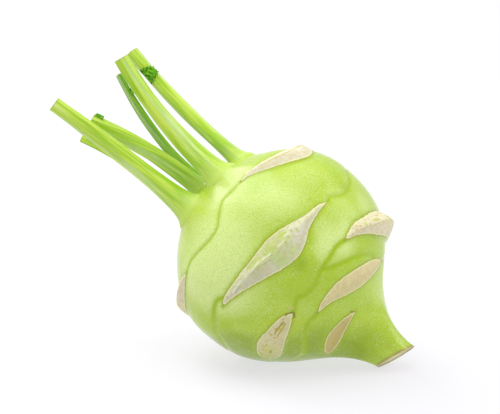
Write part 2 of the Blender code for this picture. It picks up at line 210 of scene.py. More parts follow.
# Small marks on the scars, such as vein stumps, slits and browned corners: points as (turn, height),
# half width in mm, colour
MARKS = [
    ([(-95.4, -23.3), (-99.7, -23.0), (-105.2, -22.9)], 0.4, "#98912E"),
    ([(-96.3, -24.2), (-101.2, -24.2), (-106.9, -24.3)], 0.4, "#A79D3C"),
    ([(-91.5, -22.4), (-89.2, -23.2), (-88.0, -24.6), (-91.0, -25.8)], 0.45, "#7F7A1E"),
    ([(-86.8, -22.4), (-85.2, -23.2)], 0.7, "#C2B96C"),
    ([(-117.7, -23.0)], 0.7, "#B3AE3A"),
    ([(-122.4, -25.2), (-125.0, -25.6)], 0.6, "#A59A35"),
    ([(-130.7, -23.2)], 0.7, "#A9A83E"),
    ([(-8.4, -23.2), (-3.4, -23.6)], 0.6, "#B8B552"),
    ([(-18.0, -21.9), (-15.8, -22.1)], 0.5, "#C6C57E"),
    ([(9.5, -24.6), (11.5, -24.8)], 0.65, "#AFA94C"),
    ([(18.6, -25.6), (20.4, -25.8)], 0.7, "#9E9A22"),
    ([(31.0, -26.4), (33.0, -26.6)], 0.6, "#A9A23E"),
    ([(3.0, -36.0), (8.0, -36.1)], 0.5, "#9B7B3C"),
    ([(-96.0, -2.2), (-89.0, -2.6), (-82.0, -2.9), (-76.0, -3.9), (-70.0, -5.4)], 0.32, "#A9AE84"),
    ([(-97.0, -1.3), (-89.0, -1.7), (-81.0, -1.9), (-74.0, -2.7), (-68.0, -3.9)], 0.36, "#E6E7CC"),
    ([(-66.0, -5.9), (-60.0, -5.3), (-54.0, -3.9), (-47.0, -3.1), (-38.0, -4.6)], 0.28, "#B5B590"),
    ([(-64.0, -4.6), (-57.0, -3.9), (-51.0, -2.7)], 0.3, "#E3E3C8"),
    ([(-57.9, -2.6), (-56.5, -2.4)], 0.6, "#B2CC4E"),
    ([(-63.2, -1.7)], 0.6, "#B6CE58"),
    ([(-68.7, -2.0)], 0.65, "#A9C458"),
    ([(-65.4, -3.4)], 0.6, "#A9C65A"),
    ([(-71.5, -3.3)], 0.45, "#B4CA6A"),
    ([(-73.6, -1.4), (-77.0, -1.5)], 0.5, "#B9CC62"),
    ([(-79.4, -1.0), (-82.0, -0.7)], 0.45, "#AFC744"),
    ([(-60.5, -40.0), (-57.5, -40.8)], 0.4, "#8F7A3A"),
    ([(-68.2, -39.6)], 0.4, "#9A8444"),
    ([(-130.8, -35.1), (-128.7, -35.5)], 0.6, "#D8C58E"),
    ([(-29.0, 22.3), (-22.0, 20.6), (-8.0, 17.6), (8.0, 16.8), (24.0, 17.4)], 0.5, "#B7B072"),
    ([(-24.0, -22.4), (-9.0, -24.4), (8.0, -25.7), (24.0, -26.6)], 0.25, "#C4BE80"),
    ([(-150.0, 14.8), (-146.0, 15.2)], 0.6, "#C9C85E"),
    ([(-160.0, 13.6)], 0.6, "#C2B858"),
    ([(-172.0, 12.4), (-175.0, 12.0)], 0.6, "#B9AD52"),
    ([(84.0, 22.6), (87.0, 22.4)], 0.6, "#B7B24C"),
    ([(97.0, 20.4)], 0.7, "#ADA744"),
    ([(108.0, 18.6), (111.0, 18.4)], 0.6, "#B9B358"),
    ([(78.0, -0.8), (82.0, -1.2)], 0.6, "#B0C255"),
    ([(92.0, -2.6)], 0.7, "#A7BB4C"),
    ([(104.0, -3.8), (108.0, -4.4)], 0.6, "#B4C45E"),
    ([(157.0, -9.0), (161.0, -9.2)], 0.6, "#B3A04C"),
    ([(172.0, -10.2)], 0.7, "#A8963F"),
    ([(184.0, -11.4)], 0.5, "#B3A04C"),
]

# Soft colour that soaks through a scar's flesh: turn, height, reach in mm, colour
WASHES = [
    (-58.0, -2.8, 3.4, "#BCCC70"),
    (-67.0, -2.6, 3.4, "#B8CA68"),
    (-77.0, -1.6, 3.0, "#BCCC72"),
    (-67.0, -8.6, 3.0, "#B4CD7C"),
    (-60.0, -9.6, 2.6, "#BFD08C"),
    (-80.0, -5.0, 2.6, "#BCBE9C"),
    (-88.0, -4.2, 2.2, "#C0C2A2"),
    (-52.0, -6.4, 3.0, "#D9D6C2"),
    (20.0, -24.0, 3.2, "#D3D66C"),
    (-148.0, 14.5, 3.0, "#E0DC86"),
    (-122.0, -24.5, 3.6, "#C7CD78"),
    (-132.0, -25.0, 3.4, "#BBC96E"),
    (-101.0, -23.7, 1.2, "#C3BE4E"),
    (0.0, 17.0, 3.0, "#EADFCB"),
    (98.0, 19.0, 3.4, "#D0D27C"),
    (92.0, -5.0, 3.6, "#B9CC7E"),
]

# Broad patches of the skin painted paler, partly for its wax bloom and partly as a painted highlight, or
# where negative painted deeper green as painted shade, below the widest ring and on the neck: turn, height,
# reach in mm, strength
BLOOM_AND_PAINTED_LIGHT_PATCHES = [
    (-85.0, 14.0, 20.0, 0.9),
    (-108.0, 0.0, 15.0, 0.7),
    (-41.0, -14.0, 8.0, 0.35),
    (-31.0, -20.0, 7.0, 0.55),
    (-48.0, -18.0, 7.0, 0.55),
    (-38.0, -25.0, 5.0, 0.3),
    (-40.0, 8.0, 11.0, 0.4),
    (-52.0, 27.0, 9.0, 0.5),
    (-18.0, 8.0, 11.0, 0.3),
    (-138.0, -46.0, 8.0, -1.0),
    (-121.0, -48.0, 5.0, -1.0),
    (-140.0, -31.0, 10.0, -1.2),
    (-150.0, -12.0, 9.0, -0.8),
    (-64.0, -39.0, 6.0, 0.3),
    (-116.0, 16.0, 9.0, 0.4),
    (-2.0, -17.0, 8.0, 0.5),
    (-7.0, -8.0, 5.0, -0.5),
    (-84.0, -27.0, 7.0, 0.25),
    (-62.0, -14.0, 5.0, -0.7),
    (-50.0, -10.6, 4.0, -0.5),
    (-126.0, -12.0, 14.0, -0.7),
    (-140.0, -25.0, 15.0, -0.9),
    (-108.0, -36.0, 10.0, -0.7),
    (-75.0, -52.0, 12.0, -0.5),
    (-10.0, -44.0, 10.0, 0.4),
    (150.0, 10.0, 20.0, 0.8),
    (62.0, 12.0, 16.0, 0.7),
    (100.0, -18.0, 11.0, -0.4),
    (180.0, -22.0, 14.0, -0.4),
    (120.0, -46.0, 12.0, -0.4),
]

# Leaf stalks: where the foot stands on the crown (x, y), how far the tip leans (x, y), the length,
# and the width at the tip, above the foot and at the foot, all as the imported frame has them
STALKS = {
    "stalk_front_low": ((-2.9, -15.3), (0.7, -6.9), 68.4, 6.0, 8.0, 12.0),
    "stalk_short_pale": ((-8.1, -1.4), (-6.4, -2.4), 52.9, 3.8, 5.0, 8.0),
    "stalk_middle": ((2.0, -4.0), (-6.6, -2.2), 52.5, 6.2, 6.5, 7.6),
    "stalk_thin_dark": ((-1.5, 8.1), (9.6, 9.3), 59.6, 3.0, 4.4, 6.0),
    "stalk_front_broad": ((14.1, -9.5), (12.0, -0.1), 59.8, 6.0, 8.4, 11.5),
    "stalk_rear": ((16.3, 9.3), (4.9, 3.9), 62.7, 6.4, 6.8, 8.6),
}
STALK_SIDES = 64
STALK_STEPS = 96
STALK_FLATNESS = 0.9
STALK_SINK = 6.0  # mm of stalk below the skin
SINK_STEPS = 4
TIP_RINGS = [(0.95, -0.02), (0.8, -0.05), (0.5, -0.09), (0.2, -0.1)]  # cut end: share of width, place
FLARE_RUN = 9.0  # mm above the foot over which it narrows to the shank
GROOVE_DEPTH = 0.16
RIB_COUNT = 9
RIB_HEIGHT = 0.09
FINE_RIB_COUNT = 29
FINE_RIB_HEIGHT = 0.05
STALK_SWELL = 0.12  # mm of slow unevenness
FILLET = 2.2  # mm that the foot spreads where it leaves the skin
FILLET_RUN = 1.8
COLLAR_HEIGHT = 1.8  # mm that the skin is drawn up round the foot
COLLAR_REACH = 3.0

# Scraps of leaf blade: stalk, share of the way along it, side (degrees), wrap (degrees), length (mm)
SCRAPS = {
    "leaf_scrap_middle": ("stalk_middle", 0.96, 14.0, 80.0, 3.8),
    "leaf_scrap_thin": ("stalk_thin_dark", 0.86, 14.0, 100.0, 3.0),
    "leaf_scrap_rear": ("stalk_rear", 0.81, -56.0, 90.0, 7.6),
}
SCRAP_CELLS = 32
SCRAP_TAPER = 0.55
SCRAP_CLEARANCE = 0.15  # mm to the stalk's ribs
SCRAP_LIFT = 0.2  # mm more, so that its crinkles stay clear of the stalk
SCRAP_THICKNESS = 0.25

# Heart bud: where it stands on the crown (x, y), its sizes in mm, and its folded leaves
BUD_FOOT = (8.0, 2.8)
BUD_RADIUS = 2.4
BUD_HEIGHT = 9.0
BUD_SINK = 2.5
BUD_LEAVES = 5
BUD_PLEAT = 0.14


# --- camera, floor and light --------------------------------------------------------------------

AZIMUTH = math.radians(20.0)
ELEVATION = math.radians(15.0)
DISTANCE = 1.2
VIEW_WIDTH = 0.2  # width of the view where the object is
SENSOR = 36.0
AIM_SHIFT = Vector((3.9, 0.7, 0.0)) * MM  # from the middle of the object's box

# Softboxes: azimuth and elevation seen from the object, distance, width and height in metres, roll,
# and how bright the face looks
SOFTBOXES = {
    "left_softbox": (-116.0, 48.0, 1.0, 1.7, 0.64, 66.0, 3.1),
    "right_softbox": (120.0, 32.0, 1.2, 0.7, 0.7, 0.0, 2.2),
    "top_softbox": (30.0, 70.0, 1.2, 0.8, 0.8, 0.0, 2.0),
}
SKY_GLOW = 0.74
FLOOR_HALF_SIDE = 6.0
PAPER_GREY = "#858585"
PAPER_GLOW_COLOUR = "#FAF8FF"
PAPER_GLOW = 0.67


def look_from(azimuth, elevation):
    """Direction from the object towards a place round it. Azimuth 0 is on -Y."""
    flat = math.cos(elevation)
    return Vector((math.sin(azimuth) * flat, -math.cos(azimuth) * flat, math.sin(elevation)))


def make_camera():
    low, high = CAD_BOX
    aim = 0.5 * (low + high) + AIM_SHIFT
    back = look_from(AZIMUTH, ELEVATION)
    data = bpy.data.cameras.new("camera")
    data.sensor_width = SENSOR
    data.lens = SENSOR * DISTANCE / VIEW_WIDTH
    camera = bpy.data.objects.new("camera", data)
    camera.location = aim + back * DISTANCE
    camera.rotation_mode = "QUATERNION"
    camera.rotation_quaternion = (-back).to_track_quat("-Z", "Y")
    bpy.context.scene.collection.objects.link(camera)
    bpy.context.scene.camera = camera


def add_softbox(name, azimuth, elevation, distance, width, height, roll, glow):
    """A rectangular light that looks at the object, turned in its own plane by the roll. Its glow
    is how bright its face looks."""
    data = bpy.data.lights.new(name, "AREA")
    data.shape = "RECTANGLE"
    data.size = width
    data.size_y = height
    data.energy = glow * math.pi * width * height
    light = bpy.data.objects.new(name, data)
    back = look_from(math.radians(azimuth), math.radians(elevation))
    low, high = CAD_BOX
    light.location = 0.5 * (low + high) + back * distance
    light.rotation_mode = "QUATERNION"
    turned = Quaternion((0.0, 0.0, 1.0), math.radians(roll))
    light.rotation_quaternion = (-back).to_track_quat("-Z", "Y") @ turned
    bpy.context.scene.collection.objects.link(light)


def make_studio():
    scene = bpy.context.scene
    scene.view_settings.view_transform = "Standard"
    world = bpy.data.worlds.new("studio")
    world.use_nodes = True
    sky = world.node_tree.nodes["Background"]
    sky.inputs["Color"].default_value = (1.0, 1.0, 1.0, 1.0)
    sky.inputs["Strength"].default_value = SKY_GLOW
    scene.world = world
    for name, settings in SOFTBOXES.items():
        add_softbox(name, *settings)


def make_floor():
    """Plain pale paper, which glows so that it stays almost white."""
    bm = bmesh.new()
    bmesh.ops.create_grid(bm, x_segments=1, y_segments=1, size=FLOOR_HALF_SIDE)
    mesh = bpy.data.meshes.new("studio_floor")
    bm.to_mesh(mesh)
    bm.free()
    floor = bpy.data.objects.new("studio_floor", mesh)
    bpy.context.scene.collection.objects.link(floor)
    paper = new_material("white_paper")
    set_shader(
        paper,
        {
            "Base Color": linear(PAPER_GREY),
            "Roughness": 0.9,
            "Emission Color": linear(PAPER_GLOW_COLOUR),
            "Emission Strength": PAPER_GLOW,
        },
    )
    mesh.materials.append(paper)


# --- materials ----------------------------------------------------------------------------------


def linear(code):
    """sRGB hex colour as linear red, green, blue and alpha."""
    parts = [int(code[place : place + 2], 16) / 255.0 for place in (1, 3, 5)]
    parts = [part / 12.92 if part <= 0.04045 else ((part + 0.055) / 1.055) ** 2.4 for part in parts]
    return (*parts, 1.0)


def per_mm(size):
    """Pattern scale on Object coordinates, which are metres, for features of this size in mm."""
    return 1.0 / (size * MM)


def new_material(name):
    material = bpy.data.materials.new(name)
    material.use_nodes = True
    return material


def feed(tree, node, feeds):
    """Feed a node's sockets with values or other nodes' outputs."""
    for socket, value in feeds.items():
        if isinstance(value, bpy.types.NodeSocket):
            tree.links.new(value, node.inputs[socket])
        else:
            node.inputs[socket].default_value = value


def set_shader(material, feeds):
    """Set the sockets of a material's shader."""
    feed(material.node_tree, material.node_tree.nodes["Principled BSDF"], feeds)


def add_node(tree, kind, settings=None, feeds=None, gives=0):
    """Add a node, set it, feed it, and return one of its outputs."""
    made = tree.nodes.new("ShaderNode" + kind)
    for name, value in (settings or {}).items():
        setattr(made, name, value)
    feed(tree, made, feeds or {})
    return made.outputs[gives]


SMOOTH = {"interpolation_type": "SMOOTHSTEP", "clamp": True}
COLOURS = {"data_type": "RGBA"}
COLOUR_OUT = 2
OBJECT_OUT = 3
DIRECTION_OUT = 1
NUMBER_OUT = 2


def green_skin(tree, read, noise):
    """Two yellow-greens in broad patches, paler regions that are partly wax bloom and partly painted
    highlight, deeper regions that are painted shade, deeper green along creases and scars that is partly
    the skin's own colour and partly painted shade, green flecks, and on top the powder of wax, which is
    rubbed off in the creases."""
    waver = add_node(tree, "Math", {"operation": "MULTIPLY_ADD"}, {0: noise["fine"], 1: 0.3, 2: -0.15})
    near = add_node(tree, "Math", {"operation": "ADD"}, {0: read["tint"], 1: waver})
    skin = linear("#B0C936")
    for spread, code in (
        ({0: noise["patches"], 1: 0.36, 2: 0.64}, "#A5C322"),
        # Paler: partly wax bloom, partly painted highlight.
        ({0: read["bloom_and_painted_light"], 1: 0.0, 2: 0.9}, "#D0E28A"),
        # Deeper green: painted shade.
        ({0: read["bloom_and_painted_light"], 1: 0.0, 2: -0.9}, "#8CA806"),
        # Along creases and round scars: partly the skin's own deeper green, partly painted shade.
        ({0: near, 1: 0.05, 2: 0.8}, "#9EBC02"),
        ({0: noise["specks"], 1: 0.3, 2: 0.46, 3: 0.4, 4: 0.0}, "#92B20C"),
    ):
        share = add_node(tree, "MapRange", SMOOTH, spread)
        skin = add_node(tree, "Mix", COLOURS, {0: share, 6: skin, 7: linear(code)}, COLOUR_OUT)
    bloom = add_node(tree, "MapRange", SMOOTH, {0: noise["specks"], 1: 0.46, 2: 0.74, 3: 0.0, 4: 0.38})
    for spread in (
        {0: noise["clouds"], 1: 0.35, 2: 0.62, 3: 0.25, 4: 1.0},
        {0: read["tint"], 1: 0.25, 2: 0.85, 3: 1.0, 4: 0.3},
    ):
        cover = add_node(tree, "MapRange", SMOOTH, spread)
        bloom = add_node(tree, "Math", {"operation": "MULTIPLY"}, {0: bloom, 1: cover})
    return add_node(tree, "Mix", COLOURS, {0: bloom, 6: skin, 7: linear("#DDEBB4")}, COLOUR_OUT)


def scar_flesh(tree, place, read, noise, edge):
    """Mottled corky flesh, with vein stumps in a band across its crown half and a thin pale rim."""
    mottle = add_node(tree, "MapRange", SMOOTH, {0: noise["fine"], 1: 0.4, 2: 0.66, 3: 0.0, 4: 0.55})
    meat = {0: mottle, 6: read["flesh"], 7: linear("#BFB482")}
    meat = add_node(tree, "Mix", COLOURS, meat, COLOUR_OUT)
    stumps = add_node(
        tree, "TexVoronoi", {"feature": "F1"}, {"Vector": place, "Scale": per_mm(2.2), "Randomness": 0.9}
    )
    dot = add_node(tree, "MapRange", SMOOTH, {0: stumps, 1: 0.16, 2: 0.34, 3: 1.0, 4: 0.0})
    above = add_node(tree, "MapRange", SMOOTH, {0: read["across"], 1: 0.08, 2: 0.25})
    below = add_node(tree, "MapRange", SMOOTH, {0: read["across"], 1: 0.45, 2: 0.7, 3: 1.0, 4: 0.0})
    band = add_node(tree, "Math", {"operation": "MULTIPLY"}, {0: above, 1: below})
    veins = add_node(tree, "Math", {"operation": "MULTIPLY"}, {0: dot, 1: band})
    veins = add_node(tree, "Math", {"operation": "MULTIPLY"}, {0: veins, 1: read["pores"]})
    meat = add_node(tree, "Mix", COLOURS, {0: veins, 6: meat, 7: read["pore_colour"]}, COLOUR_OUT)
    rim = add_node(tree, "MapRange", SMOOTH, {0: edge, 1: 0.3, 2: 0.8, 3: 0.8, 4: 0.0})
    return add_node(tree, "Mix", COLOURS, {0: rim, 6: meat, 7: linear("#E2E2AC")}, COLOUR_OUT)


def skin_material():
    """Epidermis of a kohlrabi under its wax bloom: glossy and a little translucent, with fine green
    flecks and a pale powder of wax. Where leaves were cut off it is matt corky flesh, with the stumps
    of their veins. The flecks are drawn coarser than real ones."""
    material = new_material("kohlrabi_epidermis")
    tree = material.node_tree
    place = add_node(tree, "TexCoord", gives=OBJECT_OUT)
    read = {
        name: add_node(tree, "Attribute", {"attribute_name": name}, gives=NUMBER_OUT)
        for name in ("scar", "across", "tint", "cut", "pores", "bloom_and_painted_light", "mark")
    }
    for name in ("flesh", "mark_colour", "pore_colour"):
        read[name] = add_node(tree, "Attribute", {"attribute_name": name})
    noise = {
        name: add_node(tree, "TexNoise", None, {"Vector": place, "Scale": per_mm(size), "Detail": detail})
        for name, size, detail in (
            ("patches", 16, 2.0),
            ("specks", 0.5, 1.0),
            ("clouds", 7, 3.0),
            ("fine", 1.6, 3.0),
        )
    }
    fine = noise["fine"]
    wobble = add_node(tree, "Math", {"operation": "MULTIPLY_ADD"}, {0: fine, 1: 0.9, 2: -0.45})
    edge = add_node(tree, "Math", {"operation": "ADD"}, {0: read["scar"], 1: wobble})
    inside = add_node(tree, "MapRange", SMOOTH, {0: edge, 1: 0.0, 2: 0.22})
    skin = green_skin(tree, read, noise)
    meat = scar_flesh(tree, place, read, noise, edge)

    # A thin darker outline just outside each scar, and the single marks over skin and flesh.
    outline = add_node(tree, "MapRange", SMOOTH, {0: edge, 1: -0.75, 2: 0.0, 3: 0.0, 4: 1.0})
    skin = add_node(tree, "Mix", COLOURS, {0: outline, 6: skin, 7: linear("#9AA52A")}, COLOUR_OUT)
    colour = add_node(tree, "Mix", COLOURS, {0: inside, 6: skin, 7: meat}, COLOUR_OUT)
    ragged = add_node(tree, "Math", {"operation": "MULTIPLY_ADD"}, {0: fine, 1: 0.8, 2: read["mark"]})
    overlay_share = add_node(tree, "MapRange", SMOOTH, {0: ragged, 1: 0.3, 2: 0.75, 3: 0.0, 4: 0.85})
    colour = add_node(tree, "Mix", COLOURS, {0: overlay_share, 6: colour, 7: read["mark_colour"]}, COLOUR_OUT)

    # Torn, dried skin along the root cut.
    frayed = add_node(tree, "Math", {"operation": "MULTIPLY_ADD"}, {0: fine, 1: -1.6, 2: read["cut"]})
    dried = add_node(tree, "MapRange", SMOOTH, {0: frayed, 1: -0.8, 2: 0.5, 3: 1.0, 4: 0.0})
    colour = add_node(tree, "Mix", COLOURS, {0: dried, 6: colour, 7: linear("#A39352")}, COLOUR_OUT)

    rough = add_node(tree, "Mix", {"data_type": "FLOAT"}, {0: inside, 2: 0.2, 3: 0.6})
    grain = add_node(tree, "Math", {"operation": "MULTIPLY"}, {0: fine, 1: inside})
    relief = {0: noise["specks"], 1: 0.16, 2: grain}
    relief = add_node(tree, "Math", {"operation": "MULTIPLY_ADD"}, relief)
    bumped = add_node(tree, "Bump", None, {"Strength": 0.5, "Distance": 0.25 * MM, "Height": relief})
    set_shader(
        material,
        {
            "Base Color": colour,
            "Roughness": rough,
            "Normal": bumped,
            "IOR": 1.42,
            "Subsurface Weight": 0.12,
            "Subsurface Radius": (1.0, 1.2, 0.5),
            "Subsurface Scale": 2.0 * MM,
        },
    )
    return material


def root_flesh_material():
    """Cut face of the woody root: pale fibrous middle, greyer outwards and browned at the rim."""
    material = new_material("cut_root_flesh")
    tree = material.node_tree
    place = add_node(tree, "TexCoord", gives=OBJECT_OUT)
    rings = add_node(tree, "Attribute", {"attribute_name": "tint"}, gives=NUMBER_OUT)
    fine = add_node(tree, "TexNoise", None, {"Vector": place, "Scale": per_mm(0.9), "Detail": 4.0})
    wobble = add_node(tree, "Math", {"operation": "MULTIPLY_ADD"}, {0: fine, 1: 0.3, 2: -0.15})
    reach = add_node(tree, "Math", {"operation": "ADD"}, {0: rings, 1: wobble})
    colour = linear("#DCD9AE")
    for start, end, code in ((0.1, 0.75, "#C4BF88"), (0.82, 0.98, "#8F8546")):
        share = add_node(tree, "MapRange", SMOOTH, {0: reach, 1: start, 2: end})
        colour = add_node(tree, "Mix", COLOURS, {0: share, 6: colour, 7: linear(code)}, COLOUR_OUT)
    bumped = add_node(tree, "Bump", None, {"Strength": 0.8, "Distance": 0.3 * MM, "Height": fine})
    set_shader(material, {"Base Color": colour, "Normal": bumped, "Roughness": 0.7})
    return material


def stalk_material(name, pale, deep, foot, powder):
    """Petiole skin: smooth and softly glossy, with pale and deep green streaks along its ribs and a
    pale groove on the side to the plant's middle. Powdery wax lies on it in streaks, it is lush green
    a little above the foot, and it has dried at the cut end."""
    material = new_material(name)
    tree = material.node_tree
    grain = add_node(tree, "Attribute", {"attribute_name": "grain"}, gives=DIRECTION_OUT)
    clear, ending, groove = (
        add_node(tree, "Attribute", {"attribute_name": name}, gives=NUMBER_OUT)
        for name in ("clear", "ending", "groove")
    )
    streaks = add_node(tree, "TexNoise", None, {"Vector": grain, "Scale": 1.5, "Detail": 2.0})
    clouds = add_node(tree, "TexNoise", None, {"Vector": grain, "Scale": 0.8, "Detail": 5.0})
    streaky = add_node(tree, "MapRange", SMOOTH, {0: streaks, 1: 0.3, 2: 0.7})
    bloom = add_node(tree, "MapRange", SMOOTH, {0: clouds, 1: 0.48, 2: 0.7, 3: 0.0, 4: powder})
    footing = add_node(tree, "MapRange", SMOOTH, {0: clear, 1: 0.5, 2: 9.0, 3: 0.9, 4: 0.0})
    rising = add_node(tree, "MapRange", SMOOTH, {0: clear, 1: 3.0, 2: 11.0})
    passing = add_node(tree, "MapRange", SMOOTH, {0: clear, 1: 16.0, 2: 34.0, 3: 1.0, 4: 0.0})
    middle = add_node(tree, "MapRange", SMOOTH, {0: streaks, 1: 0.38, 2: 0.6, 3: 0.0, 4: 0.7})
    lush = add_node(tree, "Math", {"operation": "MULTIPLY"}, {0: rising, 1: passing})
    lush = add_node(tree, "Math", {"operation": "MULTIPLY"}, {0: lush, 1: middle})
    dried = add_node(tree, "MapRange", SMOOTH, {0: ending, 1: 0.1, 2: 0.7, 3: 0.55, 4: 0.0})
    colour = linear(pale)
    for share, code in (
        (streaky, deep),
        (groove, "#DCE8AE"),
        (bloom, "#DCEBBE"),
        (footing, foot),
        (lush, "#98C606"),
        (dried, "#A9A45A"),
    ):
        colour = add_node(tree, "Mix", COLOURS, {0: share, 6: colour, 7: linear(code)}, COLOUR_OUT)
    bumped = add_node(tree, "Bump", None, {"Strength": 0.3, "Distance": 0.2 * MM, "Height": streaks})
    set_shader(
        material,
        {
            "Base Color": colour,
            "Normal": bumped,
            "Roughness": 0.42,
            "IOR": 1.42,
            "Specular IOR Level": 0.38,
            "Subsurface Weight": 0.12,
            "Subsurface Radius": (0.8, 1.2, 0.3),
            "Subsurface Scale": 1.5 * MM,
        },
    )
    return material


def stalk_flesh_material():
    """Cut end of a petiole: moist pale flesh with the ends of the strands as darker dots."""
    material = new_material("cut_petiole_flesh")
    tree = material.node_tree
    place = add_node(tree, "TexCoord", gives=OBJECT_OUT)
    strands = add_node(
        tree, "TexVoronoi", {"feature": "F1"}, {"Vector": place, "Scale": per_mm(1.1), "Randomness": 0.8}
    )
    dot = add_node(tree, "MapRange", SMOOTH, {0: strands, 1: 0.15, 2: 0.4, 3: 1.0, 4: 0.0})
    ends = {0: dot, 6: linear("#DDE7A6"), 7: linear("#B4C766")}
    colour = add_node(tree, "Mix", COLOURS, ends, COLOUR_OUT)
    set_shader(material, {"Base Color": colour, "Roughness": 0.55})
    return material


def blade_material():
    """Torn leaf blade: dark green and matt, with light yellow-green blotches on its raised crinkles, which
    are a painted highlight.
    """
    material = new_material("leaf_blade_tissue")
    tree = material.node_tree
    place = add_node(tree, "TexCoord", gives=OBJECT_OUT)
    blotch = add_node(tree, "TexNoise", None, {"Vector": place, "Scale": per_mm(1.1), "Detail": 3.0})
    share = add_node(tree, "MapRange", SMOOTH, {0: blotch, 1: 0.35, 2: 0.68})
    # The light green on the raised blotches is a painted highlight.
    greens = {0: share, 6: linear("#2C6E02"), 7: linear("#78B812")}
    colour = add_node(tree, "Mix", COLOURS, greens, COLOUR_OUT)
    bumped = add_node(tree, "Bump", None, {"Strength": 0.6, "Distance": 0.2 * MM, "Height": blotch})
    set_shader(
        material, {"Base Color": colour, "Normal": bumped, "Roughness": 0.6, "Specular IOR Level": 0.2}
    )
    return material


def bud_material():
    """Young folded leaves: soft yellow-green, darker in the valleys of the folds, which is painted shade.
    """
    material = new_material("young_leaf_tissue")
    tree = material.node_tree
    place = add_node(tree, "TexCoord", gives=OBJECT_OUT)
    fold = add_node(tree, "Attribute", {"attribute_name": "tint"}, gives=NUMBER_OUT)
    blotch = add_node(tree, "TexNoise", None, {"Vector": place, "Scale": per_mm(1.4), "Detail": 3.0})
    wobble = add_node(tree, "Math", {"operation": "MULTIPLY_ADD"}, {0: blotch, 1: 0.6, 2: -0.3})
    near = add_node(tree, "Math", {"operation": "ADD"}, {0: fold, 1: wobble})
    share = add_node(tree, "MapRange", SMOOTH, {0: near, 1: 0.0, 2: 1.0})
    greens = {0: share, 6: linear("#C3DA74"), 7: linear("#7FA52B")}
    colour = add_node(tree, "Mix", COLOURS, greens, COLOUR_OUT)
    set_shader(material, {"Base Color": colour, "Roughness": 0.5})
    return material


# --- shared modelling ---------------------------------------------------------------------------


def add_piece(name, mesh, materials):
    """Lay a mesh from the plant's frame down, name it, and put it in the place of its CAD node."""
    mesh.transform(TO_PLACE)
    for material in materials:
        mesh.materials.append(material)
    mesh.shade_smooth()
    mesh.set_sharp_from_angle(angle=math.radians(52))
    piece = bpy.data.objects.new(name + "_fine", mesh)
    bpy.context.scene.collection.objects.link(piece)
    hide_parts(name)
    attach(piece, "root")


def finished_mesh(name, bm):
    """Close a bmesh's work: faces outwards, into a new mesh."""
    bmesh.ops.recalc_face_normals(bm, faces=bm.faces)
    if bm.calc_volume(signed=True) < 0.0:
        bmesh.ops.reverse_faces(bm, faces=bm.faces)
    mesh = bpy.data.meshes.new(name)
    bm.to_mesh(mesh)
    bm.free()
    return mesh


def grow_rim(bm, rim):
    """Extrude an open rim by one ring. Gives the new ring's corners and edges."""
    grown = bmesh.ops.extrude_edge_only(bm, edges=rim)["geom"]
    corners = [item for item in grown if isinstance(item, bmesh.types.BMVert)]
    edges = [item for item in grown if isinstance(item, bmesh.types.BMEdge)]
    return corners, [edge for edge in edges if all(corner in corners for corner in edge.verts)]


def read_places(mesh):
    """The mesh's corners as a numpy array, one row each."""
    flat = np.empty(len(mesh.vertices) * 3)
    mesh.vertices.foreach_get("co", flat)
    return flat.reshape(-1, 3)


def write_places(mesh, places):
    mesh.vertices.foreach_set("co", places.astype(np.float32).ravel())


def write_attribute(mesh, name, values):
    """Keep a number, a direction or a colour with each corner, for the material."""
    width = 1 if values.ndim == 1 else values.shape[1]
    kind, field = {1: ("FLOAT", "value"), 3: ("FLOAT_VECTOR", "vector"), 4: ("FLOAT_COLOR", "color")}[width]
    layer = mesh.attributes.new(name, kind, "POINT")
    layer.data.foreach_set(field, values.astype(np.float32).ravel())


def smooth_step(share):
    share = np.clip(share, 0.0, 1.0)
    return share * share * (3.0 - 2.0 * share)


def curve_through(points, fineness=8):
    """Smooth curve through given points."""
    spots = np.array(points, float)
    padded = np.vstack([2 * spots[0] - spots[1], spots, 2 * spots[-1] - spots[-2]])
    share = np.linspace(0.0, 1.0, fineness, endpoint=False)[:, None]
    stretches = []
    for before, start, end, after in zip(padded, padded[1:], padded[2:], padded[3:]):
        bend = 2 * before - 5 * start + 4 * end - after
        twist = 3 * start - before - 3 * end + after
        stretches.append(start + 0.5 * share * (end - before + share * (bend + share * twist)))
    return np.vstack(stretches + [spots[-1:]])


def distance_to(line, spots):
    """Distance of each spot to a line of points."""
    nearest = np.full(len(spots), FAR)
    for start, end in zip(line, line[1:]):
        run = end - start
        share = np.clip(((spots - start) @ run) / max(run @ run, 1e-9), 0.0, 1.0)
        gap = np.linalg.norm(spots - start - share[:, None] * run, axis=1)
        nearest = np.minimum(nearest, gap)
    return nearest


# --- bulb ---------------------------------------------------------------------------------------


def curve_points(start, leave, arrive, end, steps):
    """Points of one smooth stretch of outline, each as (radius, 0, height)."""
    corners = [Vector((radius, 0.0, height)) for radius, height in (start, leave, arrive, end)]
    return interpolate_bezier(*corners, steps + 1)


